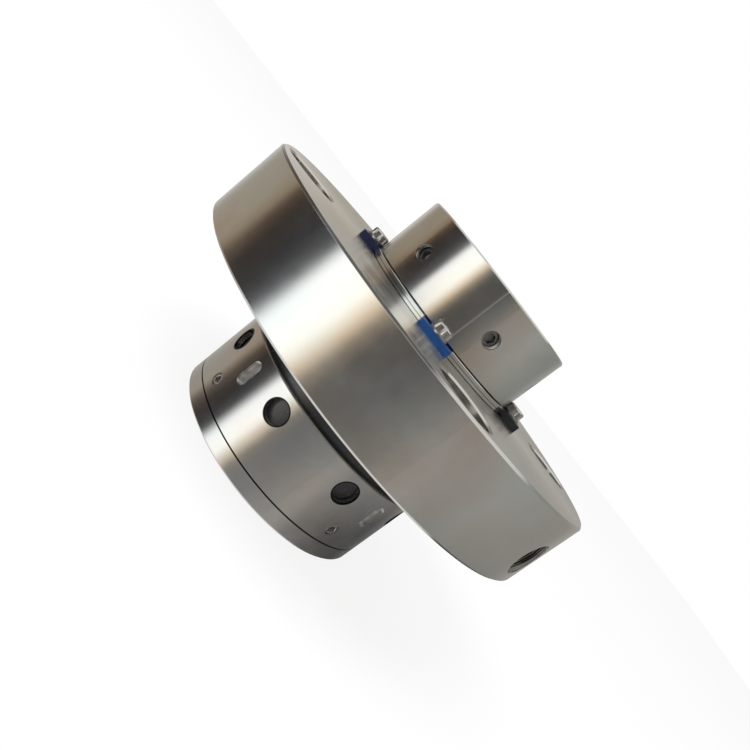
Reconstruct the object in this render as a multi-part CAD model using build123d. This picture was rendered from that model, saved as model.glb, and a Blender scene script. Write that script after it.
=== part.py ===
"""Cartridge mechanical seal for a 60 mm shaft, multi-spring, with a bolted gland.

Frame: +Z runs along the shaft towards the drive collar. z = 0 is the inboard end
face of the rotary head, on which the seal stands. Two bolt holes of the gland lie on the
X axis. All sizes are in millimetres.
"""
from build123d import *
import os
from math import cos, radians, sin

os.makedirs("parts", exist_ok=True)

# ---------------------------------------------------------------- driving dimensions
# Shaft and sleeve
shaft_r = 30.0
sleeve_wall = 6.0
sleeve_inboard_inset = 0.8
sleeve_outboard_inset = 1.0
sleeve_flange_h = 3.2
sleeve_flange_w = 3.5

# Rotary head: spring retainer and shell
head_wall = 20.5
end_flange_h = 8.5
shell_h = 34.0
shell_hub_wall = 5.5
shell_skirt_wall = 2.9
retainer_hub_h = 12.0
head_edge = 0.9

window_count = 8
window_r = 5.5
window_from_top = 9.5
window_start_deg = 15.0
key_count = 4
key_slot_length = 13.2
key_slot_width = 5.6
key_slot_from_top = 11.7
key_lead_deg = 22.5
key_recess = 1.2
key_reach = 2.4
head_screw_rise = 7.6
head_screw_lead_deg = 10.0

# Springs
spring_count = 8
spring_wire_r = 0.5
spring_coil_r = 2.3
spring_pitch = 3.2
spring_pocket_depth = 11.0
spring_lead_deg = 17.5
thrust_ring_h = 2.8
thrust_lip_h = 2.8
face_travel = 2.0
travel_margin = 0.7

# Seal faces
rotary_ring_overhang = 5.8
face_nose_h = 3.1
face_nose_width = 6.0
face_nose_gap = 5.5
face_chamber_depth = 7.5
face_film = 0.05
mating_face_chamfer = 0.6
mating_bore_gap = 3.5
mating_ring_wall = 11.4
mating_ring_seat_depth = 10.0

# Gland
gland_r = 105.0
gland_h = 38.0
gland_gap = 18.0
gland_edge = 1.0
boss_step = 0.8
boss_h = 3.2
bolt_rim_wall = 3.5
bolt_hole_r = 14.0
bolt_hole_edge = 0.8
bolt_count = 4
port_r = 9.4
port_depth = 20.0
port_drill_r = 5.0
port_start_deg = 45.0
port_count = 2
quench_gap = 7.5
bushing_shoulder_h = 4.4
bushing_shoulder_gap = 2.6
bushing_wall = 4.6
bushing_h = 8.2
circlip_inset = 2.5
circlip_wire = 1.5
circlip_depth = 2.5
circlip_overlap = 0.8
circlip_gap_width = 9.0
circlip_lug_r = 1.9
circlip_lug_hole_r = 0.8
circlip_lug_turn_deg = 8.5
gasket_land = 11.0
gasket_groove_w = 4.8
gasket_groove_depth = 3.2

# Drive collar
collar_wall = 9.2
collar_h = 31.3
collar_gap = 0.5
collar_edge = 0.7
collar_screw_count = 6
collar_screw_z_in_collar = 14.0
collar_screw_start_deg = 4.0

# Setting clips
clip_count = 4
clip_start_deg = 75.0
clip_width = 17.4
clip_h = 4.5
clip_end_margin = 5.75
clip_corner_r = 0.6
clip_groove_depth = 1.6
tongue_overcut = 1.2
screw_head_gap = 0.5

# Standard fasteners
m5_r = 2.5
m5_head_r = 4.25
m5_head_h = 5.0
m5_length = 14.0
tap_runout = 2.0
m5_socket_across = 4.0
washer_h = 1.2
washer_wall = 1.65
m6_r = 3.0
m6_length = 20.0
m6_socket_across = 3.0
m8_r = 4.0
m8_length = 12.0
m8_socket_across = 4.0
socket_depth = 3.0
screw_edge = 0.5

# O-rings: cord radius as squeezed in its groove
shaft_oring_cord_r = 1.55
face_oring_cord_r = 2.0
mating_oring_cord_r = 1.6
gasket_cord_r = 1.9
oring_groove_side = 0.75
pin_r = 2.0
pin_embed = 6.0
pin_reach = 3.6
pin_start_deg = 135.0
pin_count = 2

# Edges
edge_break = 0.5
bore_edge = 0.8
seam_edge = 0.25
point_edge = 1.0

# Clearances
cut_through = 1.0
screw_seat_depth = 0.6
running_clearance = 0.4
thread_clearance = 0.02
side_clearance = 0.3

# ---------------------------------------------------------------- derived places
sleeve_r = shaft_r + sleeve_wall
sleeve_z0 = sleeve_inboard_inset
sleeve_flange_top = sleeve_z0 + sleeve_flange_h
sleeve_flange_r = sleeve_r + sleeve_flange_w

head_r = sleeve_r + head_wall
hub_r = head_r - shell_hub_wall
skirt_inner_r = head_r - shell_skirt_wall
hub_top = end_flange_h + retainer_hub_h
shell_top = end_flange_h + shell_h
thrust_z0 = hub_top + face_travel + travel_margin
ring_z0 = thrust_z0 + thrust_ring_h
ring_body_top = shell_top + rotary_ring_overhang
face_z = ring_body_top + face_nose_h
skirt_step_z = ring_z0 - face_travel - travel_margin
rotary_ring_r = skirt_inner_r - 2 * side_clearance
key_inner_r = rotary_ring_r - key_reach
face_chamber_r = sleeve_r + 2 * face_oring_cord_r + 2 * thread_clearance
face_nose_inner_r = sleeve_r + face_nose_gap
face_nose_outer_r = face_nose_inner_r + face_nose_width
window_z = shell_top - window_from_top
key_slot_z = shell_top - key_slot_from_top
head_screw_z = end_flange_h + head_screw_rise
head_screw_tip_r = sleeve_r - screw_seat_depth
key_start_deg = window_start_deg + key_lead_deg
head_screw_deg = key_start_deg - head_screw_lead_deg
spring_start_deg = head_screw_deg + spring_lead_deg
spring_circle_r = (sleeve_r + hub_r) / 2
spring_floor = hub_top - spring_pocket_depth
spring_length = thrust_z0 - spring_floor
shaft_oring_z = sleeve_flange_top + 2 * shaft_oring_cord_r
face_oring_z = ring_z0 + thrust_lip_h + face_oring_cord_r

mating_z0 = face_z + face_film
mating_inner_r = sleeve_r + mating_bore_gap
mating_ring_r = mating_inner_r + mating_ring_wall
gland_z0 = shell_top + gland_gap
gland_z1 = gland_z0 + gland_h
boss_z = gland_z1 + boss_h
seat_z = gland_z0 + mating_ring_seat_depth
seat_r = mating_ring_r + running_clearance
mating_z1 = seat_z - side_clearance
mating_ring_h = mating_z1 - mating_z0
mating_oring_z = (gland_z0 + seat_z) / 2
quench_r = sleeve_r + quench_gap
pin_circle_r = (mating_ring_r + quench_r) / 2
circlip_top = gland_z1 - circlip_inset
bushing_top = circlip_top - circlip_wire
shoulder_top = bushing_top - bushing_h
quench_top = shoulder_top - bushing_shoulder_h
bushing_shoulder_r = sleeve_r + bushing_shoulder_gap
bushing_inner_r = sleeve_r + running_clearance
bushing_outer_r = bushing_inner_r + bushing_wall
bushing_bore_r = bushing_outer_r + thread_clearance
port_z = (seat_z + quench_top) / 2
bolt_circle_r = gland_r - bolt_rim_wall - bolt_hole_r
gasket_groove_r = seat_r + gasket_land
gasket_z = gland_z0 + gasket_groove_depth - gasket_cord_r

collar_r = sleeve_r + collar_wall
boss_r = collar_r + boss_step
collar_z0 = boss_z + collar_gap
collar_z1 = collar_z0 + collar_h
collar_screw_z = collar_z0 + collar_screw_z_in_collar
sleeve_z1 = collar_z1 - sleeve_outboard_inset
clip_groove_r = sleeve_r - clip_groove_depth
tongue_z0 = gland_z1 + side_clearance
tongue_h = boss_h - 2 * side_clearance
tongue_tip_r = clip_groove_r + side_clearance
clip_top = gland_z1 + clip_h
clip_screw_circle_r = collar_r + m5_head_r + screw_head_gap
clip_outer_r = clip_screw_circle_r + clip_end_margin
clip_inner_step_r = boss_r + 2 * side_clearance
m5_tip_z = clip_top + washer_h - m5_length
circlip_gap_deg = clip_start_deg + 180.0 / clip_count


# ---------------------------------------------------------------- helpers
def polar(radius, angle_deg, z=0.0):
    """Point at a radius and an angle round the shaft axis."""
    return Vector(radius * cos(radians(angle_deg)), radius * sin(radians(angle_deg)), z)


def angles(count, start_deg):
    """Equal angles round the shaft axis."""
    return [start_deg + 360.0 / count * i for i in range(count)]


def turned(*outline):
    """Solid of revolution about Z from (radius, z) corners of its half section."""
    face = make_face(Polyline(*[(r, 0, z) for r, z in outline], close=True))
    return revolve(face, Axis.Z, 360)


def ring(inner_r, outer_r, z0, z1):
    """Plain ring with square edges."""
    return turned((inner_r, z0), (outer_r, z0), (outer_r, z1), (inner_r, z1))


def torus_ring(centre_r, cord_r, z):
    """O-ring of round cord."""
    return Pos(0, 0, z) * Torus(centre_r, cord_r)


def radial_rod(rod_r, r0, r1, angle_deg, z):
    """Cylinder along a radius, from r0 out to r1."""
    plane = Plane(origin=polar(r0, angle_deg, z), z_dir=polar(1, angle_deg))
    return extrude(plane * Circle(rod_r), r1 - r0)


def radial_slot(width, length, r0, r1, angle_deg, z):
    """Round-ended bar along the shaft axis, thick along a radius."""
    plane = Plane(
        origin=polar(r0, angle_deg, z),
        x_dir=(0, 0, 1),
        z_dir=polar(1, angle_deg),
    )
    return extrude(plane * SlotOverall(length, width), r1 - r0)


def socket_set_screw(screw_r, length, across, tip_r, angle_deg, z):
    """Chamfer-point set screw along a radius, with its point at tip_r."""
    half = [
        (0, 0),
        (screw_r - point_edge, 0),
        (screw_r, point_edge),
        (screw_r, length - screw_edge),
        (screw_r - screw_edge, length),
        (0, length),
    ]
    face = make_face(Polyline(*[(r, 0, h) for r, h in half], close=True))
    body = revolve(face, Axis.Z, 360)
    socket = Pos(0, 0, length - socket_depth) * extrude(
        RegularPolygon(across / 2, 6, major_radius=False), socket_depth
    )
    plane = Plane(origin=polar(tip_r, angle_deg, z), z_dir=polar(1, angle_deg))
    return plane.location * (body - socket)


def save(node, shape):
    """Write one node's STEP file."""
    export_step(shape, f"parts/{node}.step")


# ---------------------------------------------------------------- rotating sleeve
def shaft_sleeve():
    """Sleeve on the shaft: stop flange, O-ring groove, clip groove, screw seats."""
    body = turned(
        (shaft_r + bore_edge, sleeve_z0),
        (sleeve_flange_r - edge_break, sleeve_z0),
        (sleeve_flange_r, sleeve_z0 + edge_break),
        (sleeve_flange_r, sleeve_flange_top),
        (sleeve_r, sleeve_flange_top),
        (sleeve_r, gland_z1),
        (clip_groove_r, gland_z1),
        (clip_groove_r, boss_z),
        (sleeve_r, boss_z),
        (sleeve_r, sleeve_z1 - bore_edge),
        (sleeve_r - bore_edge, sleeve_z1),
        (shaft_r + bore_edge, sleeve_z1),
        (shaft_r, sleeve_z1 - bore_edge),
        (shaft_r, sleeve_z0 + bore_edge),
    )
    half = shaft_oring_cord_r + oring_groove_side
    body -= ring(
        shaft_r - cut_through,
        shaft_r + 2 * shaft_oring_cord_r,
        shaft_oring_z - half,
        shaft_oring_z + half,
    )
    for angle in angles(key_count, head_screw_deg):
        body -= radial_rod(m6_r, head_screw_tip_r, sleeve_r + cut_through, angle, head_screw_z)
    for angle in angles(collar_screw_count, collar_screw_start_deg):
        body -= radial_rod(
            m8_r + side_clearance,
            shaft_r - cut_through,
            sleeve_r + cut_through,
            angle,
            collar_screw_z,
        )
    return body


# ---------------------------------------------------------------- rotary head
def spring_retainer():
    """End flange and hub of the head, with a pocket for each spring."""
    bore = sleeve_r + thread_clearance
    recess = sleeve_flange_r + side_clearance
    body = turned(
        (recess, 0),
        (head_r - head_edge, 0),
        (head_r, head_edge),
        (head_r, end_flange_h - seam_edge),
        (head_r - seam_edge, end_flange_h),
        (hub_r - thread_clearance, end_flange_h),
        (hub_r - thread_clearance, hub_top - edge_break),
        (hub_r - edge_break, hub_top),
        (bore, hub_top),
        (bore, sleeve_flange_top),
        (recess, sleeve_flange_top),
    )
    pocket_r = spring_coil_r + spring_wire_r + side_clearance
    for angle in angles(spring_count, spring_start_deg):
        at = polar(spring_circle_r, angle, spring_floor)
        body -= Pos(at) * extrude(Circle(pocket_r), spring_pocket_depth + cut_through)
    for angle in angles(key_count, head_screw_deg):
        body -= radial_rod(
            m6_r + thread_clearance, sleeve_r - cut_through, head_r, angle, head_screw_z
        )
    return body


def head_shell():
    """Thin-walled shell round the springs and the rotary face ring."""
    body = turned(
        (hub_r, end_flange_h),
        (head_r - seam_edge, end_flange_h),
        (head_r, end_flange_h + seam_edge),
        (head_r, shell_top - head_edge / 2),
        (head_r - head_edge / 2, shell_top),
        (skirt_inner_r, shell_top),
        (skirt_inner_r, skirt_step_z),
        (hub_r, skirt_step_z),
    )
    for angle in angles(window_count, window_start_deg):
        body -= radial_rod(
            window_r, hub_r - cut_through, head_r + cut_through, angle, window_z
        )
    for angle in angles(key_count, key_start_deg):
        body -= radial_slot(
            key_slot_width,
            key_slot_length,
            hub_r - cut_through,
            head_r + cut_through,
            angle,
            key_slot_z,
        )
    for angle in angles(key_count, head_screw_deg):
        body -= radial_rod(
            m6_r + thread_clearance,
            hub_r - cut_through,
            head_r + cut_through,
            angle,
            head_screw_z,
        )
    return body


def head_set_screws():
    """Socket set screws that clamp shell and retainer to the sleeve."""
    return [
        socket_set_screw(m6_r, m6_length, m6_socket_across, head_screw_tip_r, angle, head_screw_z)
        for angle in angles(key_count, head_screw_deg)
    ]


def drive_keys():
    """Round-ended keys in the shell's slots, each with a tongue in the face ring."""
    keys = []
    for angle in angles(key_count, key_start_deg):
        keys.append(
            radial_slot(
                key_slot_width - 2 * thread_clearance,
                key_slot_length - 2 * thread_clearance,
                key_inner_r,
                head_r - key_recess,
                angle,
                key_slot_z,
            )
        )
    return keys


def coil_springs():
    """Compression springs between the retainer's pockets and the thrust ring."""
    height = spring_length - 2 * spring_wire_r
    path = Helix(pitch=spring_pitch, height=height, radius=spring_coil_r)
    section = Plane(origin=path @ 0, z_dir=path % 0) * RegularPolygon(spring_wire_r, 6)
    coil = Pos(0, 0, spring_floor + spring_wire_r) * sweep(section, path=path, is_frenet=True)
    return [
        Pos(polar(spring_circle_r, angle)) * coil
        for angle in angles(spring_count, spring_start_deg)
    ]


# ---------------------------------------------------------------- floating face unit
def thrust_ring():
    """Ring pushed by the springs, with a lip that backs the sliding O-ring."""
    inner = sleeve_r + running_clearance
    outer = key_inner_r - 2 * side_clearance
    lip_r = face_chamber_r - running_clearance
    return turned(
        (inner, thrust_z0),
        (outer, thrust_z0),
        (outer, ring_z0),
        (lip_r, ring_z0),
        (lip_r, ring_z0 + thrust_lip_h),
        (inner, ring_z0 + thrust_lip_h),
    )


def rotary_face_ring():
    """Hard rotary seal ring: lapped nose, O-ring chamber and four drive notches."""
    bore = sleeve_r + running_clearance
    body = turned(
        (face_chamber_r, ring_z0),
        (rotary_ring_r - edge_break, ring_z0),
        (rotary_ring_r, ring_z0 + edge_break),
        (rotary_ring_r, ring_body_top - edge_break),
        (rotary_ring_r - edge_break, ring_body_top),
        (face_nose_outer_r, ring_body_top),
        (face_nose_outer_r, face_z),
        (face_nose_inner_r, face_z),
        (face_nose_inner_r, ring_body_top - face_nose_h),
        (bore, ring_body_top - face_nose_h),
        (bore, ring_z0 + face_chamber_depth),
        (face_chamber_r, ring_z0 + face_chamber_depth),
    )
    notch_width = key_slot_width + 2 * side_clearance
    notch_top = key_slot_z + key_slot_length / 2 + face_travel + travel_margin
    notch_bottom = ring_z0 - notch_width
    notch_floor_r = key_inner_r - side_clearance
    for angle in angles(key_count, key_start_deg):
        body -= radial_slot(
            notch_width,
            notch_top - notch_bottom,
            notch_floor_r,
            rotary_ring_r + cut_through,
            angle,
            (notch_top + notch_bottom) / 2,
        )
    return body


# ---------------------------------------------------------------- gland
def gland_plate():
    """Bolted gland: ring seat, quench chamber, bushing bore, ports and boss."""
    groove_half = mating_oring_cord_r + oring_groove_side
    groove_r = mating_ring_r + 2 * mating_oring_cord_r
    body = turned(
        (seat_r + edge_break, gland_z0),
        (gland_r - gland_edge, gland_z0),
        (gland_r, gland_z0 + gland_edge),
        (gland_r, gland_z1 - gland_edge),
        (gland_r - gland_edge, gland_z1),
        (boss_r, gland_z1),
        (boss_r, boss_z - seam_edge),
        (boss_r - seam_edge, boss_z),
        (bushing_bore_r, boss_z),
        (bushing_bore_r, circlip_top),
        (bushing_bore_r + circlip_depth, circlip_top),
        (bushing_bore_r + circlip_depth, bushing_top),
        (bushing_bore_r, bushing_top),
        (bushing_bore_r, shoulder_top),
        (bushing_shoulder_r, shoulder_top),
        (bushing_shoulder_r, quench_top),
        (quench_r, quench_top),
        (quench_r, seat_z),
        (seat_r, seat_z),
        (seat_r, mating_oring_z + groove_half),
        (groove_r, mating_oring_z + groove_half),
        (groove_r, mating_oring_z - groove_half),
        (seat_r, mating_oring_z - groove_half),
        (seat_r, gland_z0 + edge_break),
    )
    for angle in angles(bolt_count, 0):
        at = polar(bolt_circle_r, angle, gland_z0)
        body -= Pos(at) * extrude(Circle(bolt_hole_r), gland_h)
        for z, outward in ((gland_z0, -1), (gland_z1, 1)):
            mouth = Plane(origin=polar(bolt_circle_r, angle, z), z_dir=(0, 0, -outward))
            body -= extrude(mouth * Circle(bolt_hole_r + bolt_hole_edge), bolt_hole_edge, taper=45)
    for angle in angles(port_count, port_start_deg):
        body -= radial_rod(port_r, gland_r - port_depth, gland_r + cut_through, angle, port_z)
        body -= radial_rod(port_drill_r, quench_r - cut_through, gland_r, angle, port_z)
    for angle in angles(pin_count, pin_start_deg):
        at = polar(pin_circle_r, angle, seat_z)
        body -= Pos(at) * extrude(Circle(pin_r), pin_embed)
    body -= gasket_groove()
    for angle in angles(clip_count, clip_start_deg):
        body -= clip_slot(angle)
        at = polar(clip_screw_circle_r, angle, m5_tip_z - tap_runout)
        depth = gland_z1 - m5_tip_z + tap_runout
        body -= Pos(at) * extrude(Circle(m5_r + thread_clearance), depth)
    return body


def gasket_groove():
    """Face groove for the gland O-ring, on the inboard face."""
    half = gasket_groove_w / 2
    return ring(
        gasket_groove_r - half,
        gasket_groove_r + half,
        gland_z0,
        gland_z0 + gasket_groove_depth,
    )


def clip_slot(angle_deg):
    """Slot through the boss for one setting clip."""
    width = clip_width + 2 * side_clearance
    depth = clip_inner_step_r - sleeve_r
    block = Box(depth, width, boss_h, align=(Align.MAX, Align.CENTER, Align.MIN))
    return Rot(0, 0, angle_deg) * Pos(clip_inner_step_r, 0, gland_z1) * block


def mating_ring():
    """Stationary hard ring, seated in the gland, with two notches for its pins."""
    body = turned(
        (mating_inner_r, mating_z0),
        (mating_ring_r - mating_face_chamfer, mating_z0),
        (mating_ring_r, mating_z0 + mating_face_chamfer),
        (mating_ring_r, mating_z1 - mating_face_chamfer),
        (mating_ring_r - mating_face_chamfer, mating_z1),
        (mating_inner_r, mating_z1),
    )
    notch_r = pin_r + side_clearance
    for angle in angles(pin_count, pin_start_deg):
        at = polar(pin_circle_r, angle, seat_z - pin_reach - side_clearance)
        body -= Pos(at) * extrude(Circle(notch_r), mating_ring_h)
        corner = (Align.MIN, Align.CENTER, Align.MIN)
        opening = Box(seat_r, 2 * notch_r, mating_ring_h, align=corner)
        body -= Pos(at) * Rot(0, 0, angle) * opening
    return body


def anti_rotation_pins():
    """Pins pressed into the gland that hold the mating ring still."""
    return [
        Pos(polar(pin_circle_r, angle, seat_z - pin_reach))
        * extrude(Circle(pin_r), pin_reach + pin_embed)
        for angle in angles(pin_count, pin_start_deg)
    ]


def throttle_bushing():
    """Carbon bushing that closes the outboard end of the quench chamber."""
    return turned(
        (bushing_inner_r, shoulder_top),
        (bushing_outer_r, shoulder_top),
        (bushing_outer_r, bushing_top),
        (bushing_inner_r + edge_break, bushing_top),
        (bushing_inner_r, bushing_top - edge_break),
    )


def bushing_circlip():
    """Internal circlip with its gap and two lugs with plier holes."""
    outer_r = bushing_bore_r + circlip_depth
    inner_r = bushing_outer_r - circlip_overlap
    body = ring(inner_r, outer_r, bushing_top, circlip_top)
    gap_align = (Align.MIN, Align.CENTER, Align.CENTER)
    gap = Box(2 * outer_r, circlip_gap_width, 4 * circlip_wire, align=gap_align)
    body -= Rot(0, 0, circlip_gap_deg) * Pos(0, 0, bushing_top) * gap
    for side in (-1, 1):
        at = polar(inner_r, circlip_gap_deg + side * circlip_lug_turn_deg, bushing_top)
        body += Pos(at) * extrude(Circle(circlip_lug_r), circlip_wire)
        body -= Pos(at) * extrude(Circle(circlip_lug_hole_r), circlip_wire)
    return body


# ---------------------------------------------------------------- clips and screws
def setting_clip(angle_deg):
    """Clip on the gland face, with a tongue through the boss into the sleeve's groove."""
    pad_length = clip_outer_r - clip_inner_step_r
    tongue_length = clip_inner_step_r - tongue_tip_r + tongue_overcut
    pad = Box(pad_length, clip_width, clip_h, align=(Align.MAX, Align.CENTER, Align.MIN))
    pad = Pos(clip_outer_r, 0, gland_z1) * pad
    tongue = Box(tongue_length, clip_width, tongue_h, align=(Align.MAX, Align.CENTER, Align.MIN))
    tongue = Pos(clip_inner_step_r, 0, tongue_z0) * tongue
    body = pad + tongue - ring(0, tongue_tip_r, gland_z1, clip_top)
    corners = body.edges().filter_by(Axis.Z).group_by(Axis.X)[-1]
    body = fillet(corners, clip_corner_r)
    hole = extrude(Circle(m5_r + side_clearance / 2), clip_h)
    body -= Pos(clip_screw_circle_r, 0, gland_z1) * hole
    return Rot(0, 0, angle_deg) * body


def clip_screws():
    """Socket cap screws that hold the clips to the gland."""
    head_z = clip_top + washer_h
    body = turned(
        (0, m5_tip_z),
        (m5_r - screw_edge, m5_tip_z),
        (m5_r, m5_tip_z + screw_edge),
        (m5_r, head_z),
        (m5_head_r, head_z),
        (m5_head_r, head_z + m5_head_h - screw_edge),
        (m5_head_r - screw_edge, head_z + m5_head_h),
        (0, head_z + m5_head_h),
    )
    socket = RegularPolygon(m5_socket_across / 2, 6, major_radius=False)
    body -= Pos(0, 0, head_z + m5_head_h - socket_depth) * extrude(socket, socket_depth)
    return [
        Pos(polar(clip_screw_circle_r, angle)) * body
        for angle in angles(clip_count, clip_start_deg)
    ]


def clip_washers():
    """Spring washers under the cap screws' heads."""
    inner_r = m5_r + thread_clearance
    body = ring(inner_r, m5_r + washer_wall, clip_top, clip_top + washer_h)
    return [
        Pos(polar(clip_screw_circle_r, angle)) * body
        for angle in angles(clip_count, clip_start_deg)
    ]


# ---------------------------------------------------------------- drive collar
def drive_collar():
    """Collar that grips the shaft through the sleeve with six set screws."""
    bore = sleeve_r + thread_clearance
    body = turned(
        (bore, collar_z0),
        (collar_r - seam_edge, collar_z0),
        (collar_r, collar_z0 + seam_edge),
        (collar_r, collar_z1 - collar_edge),
        (collar_r - collar_edge, collar_z1),
        (bore + edge_break, collar_z1),
        (bore, collar_z1 - edge_break),
    )
    for angle in angles(collar_screw_count, collar_screw_start_deg):
        body -= radial_rod(
            m8_r + thread_clearance,
            sleeve_r - cut_through,
            collar_r + cut_through,
            angle,
            collar_screw_z,
        )
    return body


def collar_set_screws():
    """Socket set screws of the drive collar."""
    return [
        socket_set_screw(
            m8_r, m8_length, m8_socket_across, shaft_r + side_clearance, angle, collar_screw_z
        )
        for angle in angles(collar_screw_count, collar_screw_start_deg)
    ]


# ---------------------------------------------------------------- O-rings
def shaft_oring():
    """O-ring between the sleeve and the shaft."""
    return torus_ring(shaft_r + shaft_oring_cord_r, shaft_oring_cord_r, shaft_oring_z)


def face_oring():
    """Sliding O-ring between the rotary face ring and the sleeve."""
    centre_r = sleeve_r + face_oring_cord_r + thread_clearance
    return torus_ring(centre_r, face_oring_cord_r, face_oring_z)


def mating_oring():
    """O-ring round the mating ring, in the gland's groove."""
    return torus_ring(mating_ring_r + mating_oring_cord_r, mating_oring_cord_r, mating_oring_z)


def gland_oring():
    """O-ring in the gland's inboard face."""
    return torus_ring(gasket_groove_r, gasket_cord_r, gasket_z)


# ---------------------------------------------------------------- write the nodes
save("shaft_sleeve", shaft_sleeve())
save("shaft_oring", shaft_oring())
save("spring_retainer", spring_retainer())
save("head_shell", head_shell())
save("head_set_screws", Compound(children=head_set_screws()))
save("drive_keys", Compound(children=drive_keys()))
save("coil_springs", Compound(children=coil_springs()))
save("thrust_ring", thrust_ring())
save("rotary_face_ring", rotary_face_ring())
save("face_oring", face_oring())
save("gland_plate", gland_plate())
save("mating_ring", mating_ring())
save("mating_oring", mating_oring())
save("anti_rotation_pins", Compound(children=anti_rotation_pins()))
save("gland_oring", gland_oring())
save("throttle_bushing", throttle_bushing())
save("bushing_circlip", bushing_circlip())
for number, angle in enumerate(angles(clip_count, clip_start_deg), start=1):
    save(f"setting_clip_{number}", setting_clip(angle))
save("clip_screws", Compound(children=clip_screws()))
save("clip_washers", Compound(children=clip_washers()))
save("drive_collar", drive_collar())
save("collar_set_screws", Compound(children=collar_set_screws()))
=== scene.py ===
import math

import bmesh
import bpy
from mathutils import Matrix, Vector


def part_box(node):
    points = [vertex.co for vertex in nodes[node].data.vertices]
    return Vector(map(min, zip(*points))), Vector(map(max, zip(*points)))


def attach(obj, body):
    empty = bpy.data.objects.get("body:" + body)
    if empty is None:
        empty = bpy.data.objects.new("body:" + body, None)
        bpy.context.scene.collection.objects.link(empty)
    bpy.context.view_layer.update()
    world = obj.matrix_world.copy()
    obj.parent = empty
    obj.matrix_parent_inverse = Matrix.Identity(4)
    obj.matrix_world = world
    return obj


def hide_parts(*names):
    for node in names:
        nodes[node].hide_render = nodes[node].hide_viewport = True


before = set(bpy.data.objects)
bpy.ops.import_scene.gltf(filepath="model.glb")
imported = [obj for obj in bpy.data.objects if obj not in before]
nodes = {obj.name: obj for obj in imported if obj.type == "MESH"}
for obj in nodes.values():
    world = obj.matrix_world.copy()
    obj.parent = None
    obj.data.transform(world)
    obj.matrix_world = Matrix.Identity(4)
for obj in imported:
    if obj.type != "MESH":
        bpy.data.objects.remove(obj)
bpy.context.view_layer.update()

scene = bpy.context.scene
scene.view_settings.view_transform = "Standard"

# ---------------------------------------------------------------- places
MM = 0.001
head_low, head_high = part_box("head_shell")
head_r = head_high.x


# ---------------------------------------------------------------- node helpers
def empty_tree(owner):
    """The node tree of a material or world, cleared."""
    owner.use_nodes = True
    owner.node_tree.nodes.clear()
    return owner.node_tree


def new_material(name):
    material = bpy.data.materials.new(name)
    tree = empty_tree(material)
    shader = tree.nodes.new("ShaderNodeBsdfPrincipled")
    out = tree.nodes.new("ShaderNodeOutputMaterial")
    tree.links.new(shader.outputs["BSDF"], out.inputs["Surface"])
    return material, tree, shader


def node(tree, kind, inputs=None, **settings):
    made = tree.nodes.new(kind)
    for key, value in settings.items():
        setattr(made, key, value)
    for key, value in (inputs or {}).items():
        if isinstance(value, bpy.types.NodeSocket):
            tree.links.new(value, made.inputs[key])
        else:
            made.inputs[key].default_value = value
    return made


def ramp(tree, factor, stops):
    """The colour that (place, colour or grey) stops give for a factor."""
    made = tree.nodes.new("ShaderNodeValToRGB")
    elements = made.color_ramp.elements
    while len(elements) > 1:
        elements.remove(elements[-1])
    elements[0].position, elements[0].color = stops[0][0], grey(stops[0][1])
    for place, colour in stops[1:]:
        elements.new(place).color = grey(colour)
    tree.links.new(factor, made.inputs["Fac"])
    return made.outputs["Color"]


def grey(value):
    """Red, green, blue and alpha of a colour, or of one number for a grey."""
    return (value, value, value, 1) if isinstance(value, (int, float)) else (*value, 1)


def math_node(tree, operation, *values, clamp=False):
    return node(
        tree, "ShaderNodeMath", dict(enumerate(values)), operation=operation, use_clamp=clamp
    ).outputs[0]


# ---------------------------------------------------------------- materials
SEAM_DIRT = 0.28 * MM
DIRT_BLACK = (0.01, 0.01, 0.01, 1)
TOOL_LINE = 0.25 * MM
TOOL_LINE_DEPTH = 0.00002
TURNED_ANISOTROPY = 0.9


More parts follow.
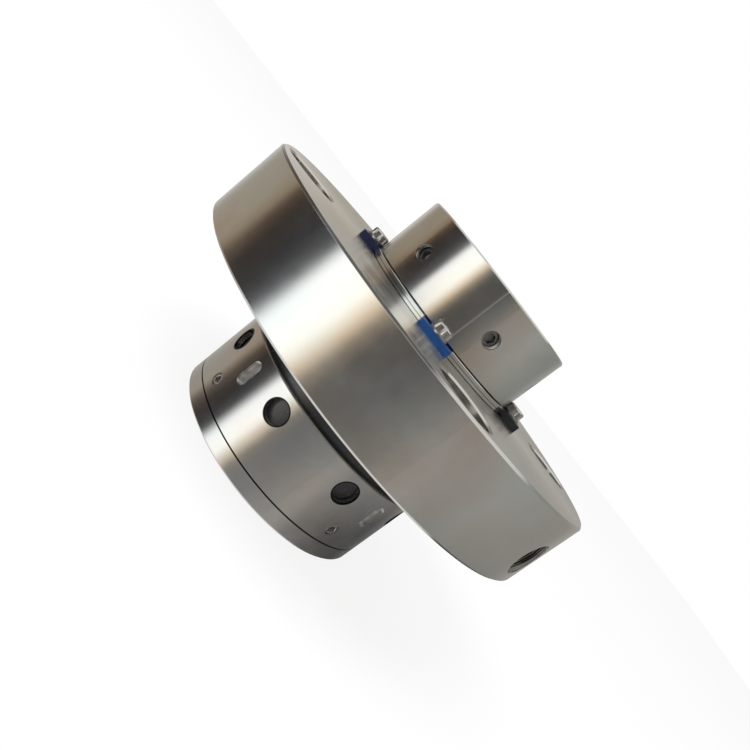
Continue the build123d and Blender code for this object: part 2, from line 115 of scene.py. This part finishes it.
def turned_steel(name, colour, roughness=0.22, seed=0.0, seams=(), marks_and_shade=None):
    """Steel with fine circular tool marks about the Z axis, faint smears and specks."""
    material, tree, shader = new_material(name)
    shader.inputs["Metallic"].default_value = 1
    shader.inputs["Anisotropic"].default_value = TURNED_ANISOTROPY
    shader.inputs["Anisotropic Rotation"].default_value = 0.25
    tangent = node(tree, "ShaderNodeTangent", direction_type="RADIAL", axis="Z")
    tree.links.new(tangent.outputs["Tangent"], shader.inputs["Tangent"])
    place = node(tree, "ShaderNodeTexCoord").outputs["Object"]
    shifted = node(tree, "ShaderNodeVectorMath", {0: place, 1: (seed, seed, 0)}, operation="ADD")
    smear = node(
        tree, "ShaderNodeTexNoise",
        {"Vector": shifted.outputs[0], "Scale": 45.0, "Detail": 5.0, "Roughness": 0.65},
    ).outputs["Fac"]
    tint = ramp(tree, smear, [(0.3, tuple(c * 0.90 for c in colour)), (0.7, colour)])
    split = node(tree, "ShaderNodeSeparateXYZ", {"Vector": place})
    wide = node(
        tree, "ShaderNodeTexNoise", {"Vector": shifted.outputs[0], "Scale": 22.0, "Detail": 3.0}
    ).outputs["Fac"]
    cast = ramp(
        tree, wide, [(0.35, (1.0, 0.95, 0.90)), (0.5, (1, 1, 1)), (0.65, (0.94, 0.99, 1.0))]
    )
    tint = node(
        tree, "ShaderNodeMix", {0: 1.0, 6: tint, 7: cast}, data_type="RGBA", blend_type="MULTIPLY"
    ).outputs[2]
    for height in seams:
        off = math_node(tree, "SUBTRACT", split.outputs["Z"], height)
        far = math_node(tree, "ABSOLUTE", off)
        clean = node(
            tree, "ShaderNodeMapRange",
            {"Value": far, "From Min": SEAM_DIRT, "From Max": SEAM_DIRT * 1.5},
        ).outputs["Result"]
        tint = node(
            tree, "ShaderNodeMix", {0: clean, 6: DIRT_BLACK, 7: tint}, data_type="RGBA"
        ).outputs[2]
    # Marks, and painted shade, are laid over the tint here.
    if marks_and_shade:
        tint = marks_and_shade(tree, split, tint)
    tree.links.new(tint, shader.inputs["Base Color"])
    low, high = roughness * 0.85, roughness * 1.2
    rough = node(
        tree, "ShaderNodeMapRange",
        {"Value": smear, "From Min": 0.35, "From Max": 0.7, "To Min": low, "To Max": high},
    ).outputs["Result"]
    tree.links.new(rough, shader.inputs["Roughness"])
    flat = node(
        tree, "ShaderNodeCombineXYZ", {"X": split.outputs["X"], "Y": split.outputs["Y"]}
    ).outputs["Vector"]
    radius = node(tree, "ShaderNodeVectorMath", {0: flat}, operation="LENGTH").outputs["Value"]
    along = math_node(tree, "ADD", radius, split.outputs["Z"])
    lines = node(
        tree, "ShaderNodeTexNoise",
        {"W": along, "Scale": 1 / TOOL_LINE, "Detail": 3.0},
        noise_dimensions="1D",
    ).outputs["Fac"]
    bump = node(
        tree, "ShaderNodeBump", {"Height": lines, "Strength": 0.12, "Distance": TOOL_LINE_DEPTH}
    ).outputs["Normal"]
    tree.links.new(bump, shader.inputs["Normal"])
    return material


def plain_material(name, colour, metallic=0.0, roughness=0.5, spread=0.12, scale=300.0, bump=0.0):
    """A material with a fine uneven tint and gloss, and a faint grain where bump is given."""
    material, tree, shader = new_material(name)
    shader.inputs["Metallic"].default_value = metallic
    place = node(tree, "ShaderNodeTexCoord").outputs["Object"]
    noise = node(
        tree, "ShaderNodeTexNoise", {"Vector": place, "Scale": scale, "Detail": 4.0}
    ).outputs["Fac"]
    dark = tuple(c * (1 - spread) for c in colour)
    tree.links.new(ramp(tree, noise, [(0.3, dark), (0.7, colour)]), shader.inputs["Base Color"])
    rough = node(
        tree, "ShaderNodeMapRange",
        {
            "Value": noise, "From Min": 0.3, "From Max": 0.7,
            "To Min": roughness * 0.85, "To Max": roughness * 1.15,
        },
    ).outputs["Result"]
    tree.links.new(rough, shader.inputs["Roughness"])
    if bump:
        grain = node(
            tree, "ShaderNodeBump", {"Height": noise, "Strength": bump, "Distance": 0.0001}
        ).outputs["Normal"]
        tree.links.new(grain, shader.inputs["Normal"])
    return material


def band(tree, value, low, high, soft):
    """1 where value is between low and high, fading over soft, otherwise 0."""
    rise = node(
        tree, "ShaderNodeMapRange", {"Value": value, "From Min": low - soft, "From Max": low}
    ).outputs["Result"]
    fall = node(
        tree, "ShaderNodeMapRange",
        {"Value": value, "From Min": high, "From Max": high + soft, "To Min": 1.0, "To Max": 0.0},
    ).outputs["Result"]
    return math_node(tree, "MULTIPLY", rise, fall)


def polar_parts(tree, split):
    """Distance from the shaft axis, and the angle round it."""
    x, y = split.outputs["X"], split.outputs["Y"]
    squares = math_node(
        tree, "ADD", math_node(tree, "MULTIPLY", x, x), math_node(tree, "MULTIPLY", y, y)
    )
    return math_node(tree, "SQRT", squares), math_node(tree, "ARCTAN2", y, x)


def painted(tree, mask, under, colour, strength=1.0):
    share = math_node(tree, "MULTIPLY", mask, strength)
    return node(
        tree, "ShaderNodeMix", {0: share, 6: under, 7: (*colour, 1)}, data_type="RGBA"
    ).outputs[2]


WINDOW_RIM_R = 6.0 * MM
WINDOW_STEP = math.radians(45)
FIRST_WINDOW = math.radians(15)


def window_rim_shade(tree, split, under):
    """Painted shade: dark rims round the windows of the head, standing in for shadowed chamfers.
    """
    radius, angle = polar_parts(tree, split)
    turned = math_node(tree, "SUBTRACT", angle, FIRST_WINDOW)
    near = math_node(tree, "WRAP", turned, WINDOW_STEP / 2, -WINDOW_STEP / 2)
    across = math_node(tree, "MULTIPLY", near, radius)
    up = math_node(tree, "SUBTRACT", split.outputs["Z"], WINDOW_Z)
    squares = math_node(
        tree, "ADD",
        math_node(tree, "MULTIPLY", across, across), math_node(tree, "MULTIPLY", up, up),
    )
    off = math_node(tree, "SQRT", squares)
    outside = band(tree, radius, 55.9 * MM, 60 * MM, 0.1 * MM)
    # A near black ring round each window, painted shade.
    painted_rim_shade = math_node(tree, "MULTIPLY", outside, band(tree, off, 0.0, WINDOW_RIM_R, 0.15 * MM))
    return painted(tree, painted_rim_shade, under, (0.015, 0.015, 0.015))


def gland_shade_and_line(tree, split, under):
    """Painted shade in the boss's corner and on one side of the rim's broken edge, and a dark line
    round the boss.
    """
    radius, angle = polar_parts(tree, split)
    high = split.outputs["Z"]
    top = band(tree, high, GLAND_FACE_Z - 0.1 * MM, GLAND_FACE_Z + 0.25 * MM, 0.05 * MM)
    # Painted shade in the corner where the boss meets the face.
    boss_corner_shade = math_node(tree, "MULTIPLY", top, band(tree, radius, 45.5 * MM, 46.35 * MM, 0.1 * MM))
    under = painted(tree, boss_corner_shade, under, (0.02, 0.02, 0.02), 0.9)
    line = band(tree, high, 100.0 * MM, 100.2 * MM, 0.06 * MM)
    under = painted(tree, line, under, (0.05, 0.05, 0.05), 0.8)
    # Painted shade on the rim's broken edge, over the side from -178 to -12 degrees only.
    rim_edge_shade = math_node(
        tree, "MULTIPLY",
        band(tree, radius, 104.05 * MM, 104.9 * MM, 0.05 * MM),
        band(tree, high, 97.6 * MM, 98.45 * MM, 0.05 * MM),
    )
    side = band(tree, angle, math.radians(-178), math.radians(-12), math.radians(6))
    return painted(tree, math_node(tree, "MULTIPLY", rim_edge_shade, side), under, (0.03, 0.03, 0.03), 0.85)


SCRATCH_ANGLE = math.radians(-10)
SCRATCH_HALF = math.radians(0.3)


def collar_scratch(tree, split, under):
    """One fine bright scratch along the collar."""
    radius, angle = polar_parts(tree, split)
    line = band(
        tree, angle, SCRATCH_ANGLE - SCRATCH_HALF, SCRATCH_ANGLE + SCRATCH_HALF,
        math.radians(0.4),
    )
    outside = band(tree, radius, 45.0 * MM, 46 * MM, 0.05 * MM)
    return painted(tree, math_node(tree, "MULTIPLY", line, outside), under, (1.0, 0.98, 0.94), 0.8)


GLAND_FACE_Z = 98.5 * MM
WINDOW_Z = head_high.z - 9.5 * MM
gland_steel = turned_steel("gland_steel", (0.62, 0.61, 0.58), marks_and_shade=gland_shade_and_line)
head_steel = turned_steel(
    "head_steel", (0.58, 0.57, 0.55), seed=0.4, seams=(head_low.z,), marks_and_shade=window_rim_shade
)
collar_steel = turned_steel("collar_steel", (0.60, 0.59, 0.56), seed=0.8, marks_and_shade=collar_scratch)
sleeve_steel = turned_steel("sleeve_steel", (0.60, 0.59, 0.57), roughness=0.25, seed=1.2)
ring_steel = turned_steel("ring_steel", (0.60, 0.59, 0.57), seed=1.6)
key_steel = plain_material(
    "key_steel", (0.96, 0.95, 0.93), 1.0, 0.36, spread=0.3, scale=500.0, bump=1.0
)
pin_steel = plain_material("pin_steel", (0.60, 0.60, 0.60), 1.0, 0.25)
screw_steel = plain_material("screw_steel", (0.62, 0.61, 0.60), 1.0, 0.25)
set_screw_steel = plain_material("set_screw_steel", (0.30, 0.30, 0.30), 1.0, 0.4)
washer_steel = plain_material("washer_steel", (0.45, 0.45, 0.45), 1.0, 0.35)
spring_steel = plain_material("spring_steel", (0.55, 0.55, 0.55), 1.0, 0.3)
face_ceramic = plain_material("face_ceramic", (0.035, 0.035, 0.038), 0.0, 0.25)
bushing_carbon = plain_material("bushing_carbon", (0.045, 0.045, 0.045), 0.0, 0.4)
black_rubber = plain_material("black_rubber", (0.02, 0.02, 0.02), 0.0, 0.6)
clip_plastic = plain_material("clip_plastic", (0.010, 0.062, 0.215), 0.0, 0.30)
# Darker copies of the blue clip plastic: painted shade for clips that lie in shadow.
clip_plastic_shaded = plain_material("clip_plastic_shaded", (0.010, 0.014, 0.050), 0.0, 0.30)
clip_plastic_deep_shaded = plain_material("clip_plastic_deep_shaded", (0.022, 0.022, 0.024), 0.0, 0.35)
thread_steel = plain_material("thread_steel", (0.34, 0.33, 0.31), 1.0, 0.35)

NODE_MATERIALS = {
    "gland_plate": gland_steel,
    "head_shell": head_steel,
    "spring_retainer": head_steel,
    "drive_collar": collar_steel,
    "shaft_sleeve": sleeve_steel,
    "thrust_ring": ring_steel,
    "drive_keys": key_steel,
    "anti_rotation_pins": pin_steel,
    "clip_screws": screw_steel,
    "head_set_screws": set_screw_steel,
    "collar_set_screws": set_screw_steel,
    "clip_washers": washer_steel,
    "bushing_circlip": spring_steel,
    "coil_springs": spring_steel,
    "rotary_face_ring": face_ceramic,
    "mating_ring": face_ceramic,
    "throttle_bushing": bushing_carbon,
    "shaft_oring": black_rubber,
    "face_oring": black_rubber,
    "mating_oring": black_rubber,
    "gland_oring": black_rubber,
    "setting_clip_1": clip_plastic,
    "setting_clip_2": clip_plastic,
    "setting_clip_3": clip_plastic,
    "setting_clip_4": clip_plastic,
}
for name, material in NODE_MATERIALS.items():
    mesh = nodes[name].data
    mesh.materials.clear()
    mesh.materials.append(material)

# ---------------------------------------------------------------- pieces
def new_object(name, verts, faces, material, body, matrix=None, smooth_deg=35.0):
    """A mesh piece that rides on a body, placed by matrix."""
    mesh = bpy.data.meshes.new(name)
    mesh.from_pydata(verts, [], faces)
    mesh.validate()
    if matrix is not None:
        mesh.transform(matrix)
    made = bpy.data.objects.new(name, mesh)
    scene.collection.objects.link(made)
    work = bmesh.new()
    work.from_mesh(mesh)
    bmesh.ops.recalc_face_normals(work, faces=work.faces)
    work.to_mesh(mesh)
    work.free()
    mesh.shade_smooth()
    mesh.set_sharp_from_angle(angle=math.radians(smooth_deg))
    mesh.materials.append(material)
    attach(made, body)
    return made


def radial_matrix(angle_deg, z):
    """Turns a piece made along +Z to point out from the shaft axis at an angle and height."""
    turn = Matrix.Rotation(math.radians(angle_deg), 4, "Z")
    tip = Matrix.Rotation(math.radians(90), 4, "Y")
    return Matrix.Translation((0, 0, z)) @ turn @ tip


def skin(rings, closed=True):
    """Vertices and faces through rings of equal count, from the last to the first if closed."""
    count, size = len(rings[0]), len(rings)
    verts = [v for ring in rings for v in ring]
    faces = []
    for i in range(size if closed else size - 1):
        n = (i + 1) % size
        for j in range(count):
            k = (j + 1) % count
            faces.append((i * count + j, i * count + k, n * count + k, n * count + j))
    return verts, faces


def lathe(rings):
    """Vertices and faces of a skin through rings of equal count, with a flat at each end."""
    count = len(rings[0])
    verts, faces = skin(rings, closed=False)
    faces.append(tuple(reversed(range(count))))
    last = (len(rings) - 1) * count
    faces.append(tuple(range(last, last + count)))
    return verts, faces


def circle(radius, z, count, teeth=0, tooth=0.0):
    """A ring of points, wavy where it has teeth."""
    ring = []
    for i in range(count):
        a = 2 * math.pi * i / count
        r = radius + (tooth * math.cos(teeth * a) if teeth else 0.0)
        ring.append((r * math.cos(a), r * math.sin(a), z))
    return ring


def hexagon(across, z, count):
    """A ring of points on a hexagon of that width across flats."""
    ring = []
    for i in range(count):
        a = 2 * math.pi * i / count
        off = (a + math.pi / 6) % (math.pi / 3) - math.pi / 6
        r = across / 2 / math.cos(off)
        ring.append((r * math.cos(a), r * math.sin(a), z))
    return ring


def socket_screw(profile, socket_across, socket_depth, count=96, teeth=0, tooth=0.0, knurled=()):
    """A screw along +Z from (radius, z) pairs, with a hexagon socket in its top."""
    rings = [
        circle(r, z, count, teeth if i in knurled else 0, tooth)
        for i, (r, z) in enumerate(profile)
    ]
    top = profile[-1][1]
    rings.append(hexagon(socket_across * 1.08, top, count))
    rings.append(hexagon(socket_across, top - socket_across * 0.06, count))
    rings.append(hexagon(socket_across, top - socket_depth, count))
    rings.append(circle(socket_across * 0.1, top - socket_depth * 1.15, count))
    return lathe(rings)


# The low cap heads and low clips that the photo shows stand in for taller CAD ones.
CAP_HEAD_R = 4.25 * MM
CAP_HEAD_H = 3.5 * MM
CAP_TEETH = 32
CAP_TOOTH = 0.12 * MM
CAP_SOCKET_ACROSS = 3.0 * MM
CAP_SOCKET_DEPTH = 2.2 * MM
CLIP_H = 3.1 * MM
WASHER_H = 1.0 * MM
screw_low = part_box("clip_screws")[0]
SCREW_CIRCLE_R = 49.95 * MM
SCREW_ANGLES = [75 + 90 * i for i in range(4)]
clip_top = GLAND_FACE_Z + CLIP_H
head_base = clip_top + WASHER_H
cap_profile = [
    (2.1 * MM, screw_low.z),
    (2.5 * MM, screw_low.z + 0.5 * MM),
    (2.5 * MM, head_base),
    (CAP_HEAD_R - 0.25 * MM, head_base),
    (CAP_HEAD_R - 0.05 * MM, head_base + 0.2 * MM),
    (CAP_HEAD_R - 0.05 * MM, head_base + CAP_HEAD_H - 0.75 * MM),
    (CAP_HEAD_R - 0.02 * MM, head_base + CAP_HEAD_H - 0.45 * MM),
    (CAP_HEAD_R - 0.35 * MM, head_base + CAP_HEAD_H),
]
washer_profile = [(2.75, 0.0), (4.75, 0.0), (4.85, 0.12), (4.85, 0.88), (4.75, 1.0), (2.75, 1.0)]


def tube(profile, count=64):
    """A closed ring from its section's (radius, z) pairs in millimetres."""
    return skin([circle(r * MM, z * MM, count) for r, z in profile])


# Clips 1 and 3 take darker copies of the blue clip plastic, as painted shade.
SHADED_CLIP_MATERIALS = {1: clip_plastic_deep_shaded, 3: clip_plastic_shaded}
for number, angle in enumerate(SCREW_ANGLES, 1):
    a = math.radians(angle)
    centre = Matrix.Translation(
        (SCREW_CIRCLE_R * math.cos(a), SCREW_CIRCLE_R * math.sin(a), 0)
    ) @ Matrix.Rotation(a, 4, "Z")
    verts, faces = socket_screw(
        cap_profile, CAP_SOCKET_ACROSS, CAP_SOCKET_DEPTH, count=CAP_TEETH * 4,
        teeth=CAP_TEETH, tooth=CAP_TOOTH, knurled=(4, 5),
    )
    screw = new_object(
        f"cap_screw_{number}", verts, faces, screw_steel, "gland_unit", centre, 25.0
    )
    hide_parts("clip_screws")
    verts, faces = tube(washer_profile)
    washer = new_object(
        f"washer_{number}", verts, faces, washer_steel, "gland_unit",
        centre @ Matrix.Translation((0, 0, clip_top)),
    )
    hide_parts("clip_washers")
    mesh = nodes[f"setting_clip_{number}"].data.copy()
    mesh.name = f"low_clip_{number}"
    for vertex in mesh.vertices:
        vertex.co.z = min(vertex.co.z, clip_top)
    mesh.materials.clear()
    mesh.materials.append(SHADED_CLIP_MATERIALS.get(number, clip_plastic))
    clip = bpy.data.objects.new(f"low_clip_{number}", mesh)
    scene.collection.objects.link(clip)
    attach(clip, "gland_unit")
    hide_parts(f"setting_clip_{number}")


SET_SOCKET_DEPTH = 2.5 * MM


def set_screws(name, node_name, angles, z, radius, low_r, top_r, across, material):
    """Socket set screws along the radius at each angle, from low_r out to top_r."""
    profile = [
        (radius * 0.55, low_r),
        (radius * 0.98, low_r + radius * 0.4),
        (radius * 0.98, top_r - 0.45 * MM),
        (radius * 0.84, top_r),
    ]
    for number, angle in enumerate(angles, 1):
        verts, faces = socket_screw(profile, across, SET_SOCKET_DEPTH, count=72)
        screw = new_object(
            f"{name}_{number}", verts, faces, material, "rotor",
            radial_matrix(angle, z), 25.0,
        )
        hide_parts(node_name)


HEAD_SCREW_ANGLES = [27.5 + 90 * i for i in range(4)]
COLLAR_SCREW_ANGLES = [4 + 60 * i for i in range(6)]
head_screw_low, head_screw_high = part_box("head_set_screws")
collar_screw_low, collar_screw_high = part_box("collar_set_screws")
HEAD_SCREW_Z = (head_screw_low.z + head_screw_high.z) / 2
COLLAR_SCREW_Z = (collar_screw_low.z + collar_screw_high.z) / 2
set_screws(
    "head_grub_screw", "head_set_screws", HEAD_SCREW_ANGLES, HEAD_SCREW_Z, 3.0 * MM,
    35.4 * MM, head_r - 0.35 * MM, 3.0 * MM, screw_steel,
)
set_screws(
    "collar_grub_screw", "collar_set_screws", COLLAR_SCREW_ANGLES, COLLAR_SCREW_Z, 4.0 * MM,
    30.6 * MM, 42.6 * MM, 4.0 * MM, set_screw_steel,
)


THREAD_SIDES = 48
THREAD_ROWS_PER_TURN = 10


def thread(name, angle, z, radius, pitch, depth, low_r, top_r, material, body):
    """Thread turns that line a radial hole: a closed sleeve with a helical ridge inside."""
    around, along = THREAD_SIDES, int((top_r - low_r) / pitch * THREAD_ROWS_PER_TURN)
    rings = []
    for i in range(along + 1):
        t = low_r + (top_r - low_r) * i / along
        ring = []
        for j in range(around):
            a = 2 * math.pi * j / around
            wave = 0.5 + 0.5 * math.cos(2 * math.pi * (t / pitch) - a)
            r = radius - 0.04 * MM - depth * wave
            ring.append((r * math.cos(a), r * math.sin(a), t))
        rings.append(ring)
    rings += [circle(radius - 0.01 * MM, t, around) for t in (top_r, low_r)]
    verts, faces = skin(rings)
    return new_object(
        name, verts, faces, material, body, radial_matrix(angle, z), 60.0
    )


for number, angle in enumerate(COLLAR_SCREW_ANGLES, 1):
    thread(
        f"collar_thread_{number}", angle, COLLAR_SCREW_Z, 4.0 * MM, 1.25 * MM, 0.5 * MM,
        42.7 * MM, 44.85 * MM, thread_steel, "rotor",
    )
PORT_Z = 76.2 * MM
PORT_ANGLES = (45, 225)
for number, angle in enumerate(PORT_ANGLES, 1):
    thread(
        f"port_thread_{number}", angle, PORT_Z, 9.4 * MM, 1.81 * MM, 1.1 * MM,
        85.2 * MM, 104.4 * MM, thread_steel, "gland_unit",
    )

# ---------------------------------------------------------------- stage
FLOOR_SIZE = 6.0
FLOOR_WHITE_SHARE = 0.85


def plane(name, size):
    mesh = bpy.data.meshes.new(name)
    half = size / 2
    corners = [(-half, -half, 0), (half, -half, 0), (half, half, 0), (-half, half, 0)]
    mesh.from_pydata(corners, [], [(0, 1, 2, 3)])
    made = bpy.data.objects.new(name, mesh)
    scene.collection.objects.link(made)
    return made


def seen_ray(tree):
    """1 for a ray from the camera, in a reflection or through glass, otherwise 0."""
    path = node(tree, "ShaderNodeLightPath")
    first = math_node(
        tree, "ADD", path.outputs["Is Camera Ray"], path.outputs["Is Glossy Ray"]
    )
    return math_node(tree, "ADD", first, path.outputs["Is Transmission Ray"], clamp=True)


floor = plane("floor", FLOOR_SIZE)
floor_material = bpy.data.materials.new("floor_paper")
tree = empty_tree(floor_material)
paper = node(tree, "ShaderNodeBsdfDiffuse", {"Color": (0.9, 0.9, 0.9, 1)})
white = node(tree, "ShaderNodeEmission", {"Color": (1, 1, 1, 1), "Strength": 1.0})
share = math_node(tree, "MULTIPLY", seen_ray(tree), FLOOR_WHITE_SHARE)
mixed = node(
    tree, "ShaderNodeMixShader",
    {0: share, 1: paper.outputs[0], 2: white.outputs[0]},
).outputs[0]
node(tree, "ShaderNodeOutputMaterial", {"Surface": mixed})
floor.data.materials.append(floor_material)
floor.visible_glossy = False

world = bpy.data.worlds.new("studio")
scene.world = world
tree = empty_tree(world)
ambient = node(tree, "ShaderNodeBackground", {"Color": (1, 1, 1, 1), "Strength": 0.7})
backdrop = node(tree, "ShaderNodeBackground", {"Color": (1, 1, 1, 1), "Strength": 1.0})
mixed = node(
    tree, "ShaderNodeMixShader",
    {0: seen_ray(tree), 1: ambient.outputs[0], 2: backdrop.outputs[0]},
).outputs[0]
node(tree, "ShaderNodeOutputWorld", {"Surface": mixed})

# Reflector cards stand in a ring round the seal, and only reflections show them: pale and
# dark bands, as a workshop's windows and walls give. Each stop is an azimuth in degrees and
# the card's colour. The lower cards give way to the upper ones between the CARD_SPLIT heights.
UPPER_CARDS = [
    (-180, (0.52, 0.48, 0.42)),
    (-168, (0.75, 0.72, 0.70)),
    (-158, (0.56, 0.53, 0.49)),
    (-148, (0.44, 0.40, 0.34)),
    (-122, (0.47, 0.41, 0.33)),
    (-113, (0.42, 0.33, 0.24)),
    (-108, (0.15, 0.10, 0.07)),
    (-100, (0.06, 0.05, 0.045)),
    (-85, (0.06, 0.055, 0.06)),
    (-76, (0.12, 0.12, 0.13)),
    (-71, (0.20, 0.20, 0.22)),
    (-65, (1.8, 1.85, 1.90)),
    (-46, (1.9, 1.90, 1.80)),
    (-39, (1.3, 1.05, 0.78)),
    (-34, (0.40, 0.34, 0.27)),
    (-27, (0.12, 0.115, 0.11)),
    (-8, (0.12, 0.12, 0.12)),
    (10, (0.25, 0.25, 0.24)),
    (21, (0.41, 0.37, 0.34)),
    (60, (0.50, 0.50, 0.48)),
    (110, (0.36, 0.36, 0.35)),
    (150, (0.46, 0.44, 0.41)),
    (180, (0.52, 0.48, 0.42)),
]
LOWER_CARDS = [
    (-180, (0.50, 0.47, 0.44)),
    (-150, (0.50, 0.46, 0.42)),
    (-122, (0.55, 0.48, 0.40)),
    (-113, (0.20, 0.17, 0.14)),
    (-100, (0.07, 0.055, 0.05)),
    (-84, (0.06, 0.06, 0.06)),
    (-77, (0.15, 0.15, 0.16)),
    (-68, (1.8, 1.85, 1.85)),
    (-52, (1.8, 1.80, 1.75)),
    (-45, (1.1, 0.98, 0.80)),
    (-36, (0.36, 0.34, 0.31)),
    (-20, (0.33, 0.33, 0.33)),
    (29, (0.50, 0.49, 0.48)),
    (44, (0.26, 0.26, 0.265)),
    (72, (0.115, 0.115, 0.12)),
    (113, (0.06, 0.06, 0.065)),
    (150, (0.20, 0.20, 0.20)),
    (180, (0.50, 0.47, 0.44)),
]
CARD_SPLIT = (-0.34, -0.22)
CARD_RING_R = 1.2
CARD_RING_HALF_H = 1.2


def card_ring():
    sides = 96
    mesh = bpy.data.meshes.new("card_ring")
    verts, faces = [], []
    for i in range(sides):
        a = 2 * math.pi * i / sides
        for z in (-CARD_RING_HALF_H, CARD_RING_HALF_H):
            verts.append((CARD_RING_R * math.cos(a), CARD_RING_R * math.sin(a), z))
    for i in range(sides):
        j = (i + 1) % sides
        faces.append((2 * i, 2 * i + 1, 2 * j + 1, 2 * j))
    mesh.from_pydata(verts, [], faces)
    made = bpy.data.objects.new("card_ring", mesh)
    scene.collection.objects.link(made)
    material = bpy.data.materials.new("cards")
    tree = empty_tree(material)
    place = node(tree, "ShaderNodeTexCoord").outputs["Object"]
    split = node(tree, "ShaderNodeSeparateXYZ", {"Vector": place})
    angle = math_node(tree, "ARCTAN2", split.outputs["Y"], split.outputs["X"])
    part = node(
        tree, "ShaderNodeMapRange",
        {"Value": angle, "From Min": -math.pi, "From Max": math.pi, "To Min": 0.0, "To Max": 1.0},
    ).outputs["Result"]
    upper, lower = (
        ramp(tree, part, [((degrees + 180) / 360, colour) for degrees, colour in cards])
        for cards in (UPPER_CARDS, LOWER_CARDS)
    )
    height = node(
        tree, "ShaderNodeMapRange",
        {"Value": split.outputs["Z"], "From Min": CARD_SPLIT[0], "From Max": CARD_SPLIT[1]},
    ).outputs["Result"]
    colour = node(
        tree, "ShaderNodeMix", {0: height, 6: lower, 7: upper}, data_type="RGBA"
    ).outputs[2]
    glow = node(tree, "ShaderNodeEmission", {"Color": colour, "Strength": 1.0})
    node(tree, "ShaderNodeOutputMaterial", {"Surface": glow.outputs[0]})
    made.data.materials.append(material)
    made.visible_camera = False
    made.visible_diffuse = False
    made.visible_shadow = False
    made.visible_transmission = False


card_ring()


def area_lamp(name, place, target, size, power):
    lamp = bpy.data.lights.new(name, "AREA")
    lamp.shape = "DISK"
    lamp.size = size
    lamp.energy = power
    made = bpy.data.objects.new(name, lamp)
    made.location = place
    made.rotation_euler = (Vector(target) - Vector(place)).to_track_quat("-Z", "Y").to_euler()
    made.visible_glossy = False
    scene.collection.objects.link(made)


area_lamp("key_lamp", (0.6, -1.0, 1.6), (0, 0, 0.06), 1.2, 30.0)

# ---------------------------------------------------------------- camera
CAMERA_PLACE = (0.314343, -0.090136, 0.123094)
CAMERA_TURN = (73.3583, -51.2037, 87.4303)
SENSOR_MM = 36.0
FOCAL_PIXELS = 718.755
IMAGE_PIXELS = 750

camera_data = bpy.data.cameras.new("camera")
camera_data.sensor_width = SENSOR_MM
camera_data.lens = FOCAL_PIXELS / IMAGE_PIXELS * SENSOR_MM
camera_data.clip_start = 0.01
camera = bpy.data.objects.new("camera", camera_data)
camera.location = CAMERA_PLACE
camera.rotation_euler = [math.radians(a) for a in CAMERA_TURN]
scene.collection.objects.link(camera)
scene.camera = camera
